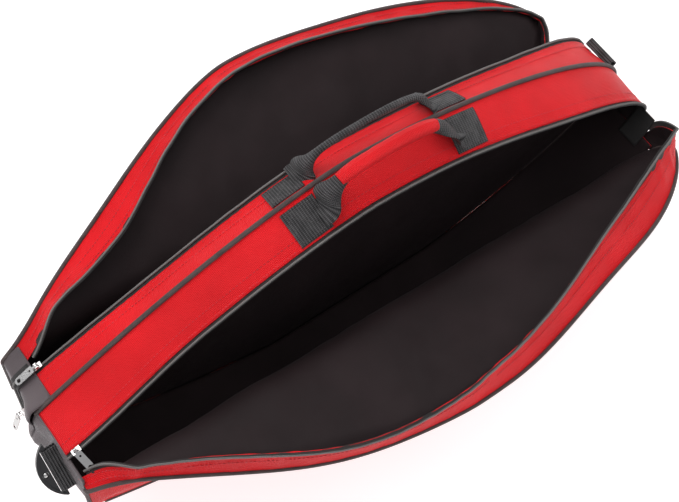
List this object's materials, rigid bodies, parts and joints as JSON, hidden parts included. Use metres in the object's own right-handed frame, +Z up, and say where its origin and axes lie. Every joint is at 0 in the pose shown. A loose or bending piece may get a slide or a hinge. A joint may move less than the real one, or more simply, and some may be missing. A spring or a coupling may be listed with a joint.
{
  "type": "racket bag",
  "caption": "Racket-shaped bag with zipped compartments standing open either side of a padded divider, fold-out covers, carry handles and a strap ring.",
  "frame": {"origin": "on the floor under the crown of the racket outline, in the plane of the divider", "axes": "+X from the handle end to the head tip, +Z up, +Y towards the smaller compartment"},
  "size_m": [0.775, 0.4592, 0.3256],
  "materials": {
    "red_cloth": "coated polyester with a soft sheen",
    "foam": "closed-cell foam sheet, matte",
    "lining": "smooth woven lining, slightly shiny",
    "pale_lining": "smooth woven lining, lit from above",
    "piping": "cord wrapped in woven cloth",
    "zip_tape": "woven tape with a moulded coil",
    "cap_cloth": "coated cloth, satin",
    "webbing": "ribbed webbing",
    "ring_plastic": "moulded, semi-gloss",
    "bright_metal": "bright plated"
  },
  "bodies": {
    "carcass": {"divider_foam": "foam", "divider_lining_far": "lining", "divider_lining_near": "pale_lining", "top_strip_far": "red_cloth", "top_strip_near": "red_cloth", "centre_piping": "piping", "zip_far_inner": "zip_tape", "zip_near_inner": "zip_tape", "wall_far_cloth": "red_cloth", "wall_far_foam": "foam", "wall_far_lining": "lining", "wall_far_piping": "piping", "wall_near_cloth": "red_cloth", "wall_near_foam": "foam", "wall_near_lining": "lining", "wall_near_piping": "piping", "gusset_far": "red_cloth", "gusset_near": "red_cloth", "end_cap": "cap_cloth", "zip_end_shut": "zip_tape", "patch_far_rear": "webbing", "patch_far_front": "webbing", "patch_near_rear": "webbing", "patch_near_front": "webbing", "head_loop": "webbing", "strap_tab": "webbing", "slider_end": "bright_metal"},
    "cover_far": {"cover_far_cloth": "red_cloth", "cover_far_foam": "foam", "cover_far_lining": "lining", "cover_far_strip": "red_cloth", "cover_far_piping": "piping", "zip_far_outer": "zip_tape"},
    "cover_near": {"cover_near_cloth": "red_cloth", "cover_near_foam": "foam", "cover_near_lining": "lining", "cover_near_strip": "red_cloth", "cover_near_piping": "piping", "zip_near_outer": "zip_tape"},
    "handle_far": {"handle_far": "webbing"},
    "handle_near": {"handle_near_sleeve": "red_cloth", "handle_near_webbing": "webbing"},
    "strap_ring": {"strap_ring": "ring_plastic", "strap_pin": "bright_metal"},
    "slider_far": {"slider_far": "bright_metal"},
    "slider_near": {"slider_near": "bright_metal"},
    "pull_far": {"pull_far": "bright_metal"},
    "pull_near": {"pull_near": "bright_metal"},
    "pull_end": {"pull_end": "bright_metal"}
  },
  "joints": [
    {"name": "cover_far_fold", "type": "hinge", "parent": "carcass", "child": "cover_far", "pos_m": [-0.3515, 0.068, 0.18261], "axis": [0.989, 0, -0.1478], "range_deg": [0, 62]},
    {"name": "cover_near_fold", "type": "hinge", "parent": "carcass", "child": "cover_near", "pos_m": [-0.37, -0.088, 0.173], "axis": [0.9978, 0, -0.0656], "range_deg": [-87, 0]},
    {"name": "handle_far_swing", "type": "hinge", "parent": "carcass", "child": "handle_far", "pos_m": [-0.045, 0.019, 0.28889], "axis": [0.998, 0, -0.0635], "range_deg": [-75, 12]},
    {"name": "handle_near_swing", "type": "hinge", "parent": "carcass", "child": "handle_near", "pos_m": [-0.045, -0.023, 0.28685], "axis": [0.998, 0, -0.0634], "range_deg": [-12, 75]},
    {"name": "strap_ring_swing", "type": "hinge", "parent": "carcass", "child": "strap_ring", "pos_m": [-0.384, -0.048, 0.142], "axis": [0, 0.6293, 0.7771], "range_deg": [-70, 70]},
    {"name": "slider_far_slide", "type": "slide", "parent": "carcass", "child": "slider_far", "axis": [0.9373, 0, 0.3485], "range_m": [0, 0.03]},
    {"name": "slider_near_slide", "type": "slide", "parent": "carcass", "child": "slider_near", "axis": [0.9477, 0.0404, 0.3167], "range_m": [0, 0.03]},
    {"name": "pull_far_flip", "type": "hinge", "parent": "slider_far", "child": "pull_far", "pos_m": [-0.34777, 0.03515, 0.19175], "axis": [0, 1, 0], "range_deg": [0, 150]},
    {"name": "pull_near_flip", "type": "hinge", "parent": "slider_near", "child": "pull_near", "pos_m": [-0.36037, -0.05902, 0.18394], "axis": [0.9477, 0.0404, 0.3167], "range_deg": [-125, 0]},
    {"name": "pull_end_flip", "type": "hinge", "parent": "carcass", "child": "pull_end", "pos_m": [-0.3808, 0.03715, 0.11162], "axis": [0, 1, 0], "range_deg": [0, 130]}
  ]
}
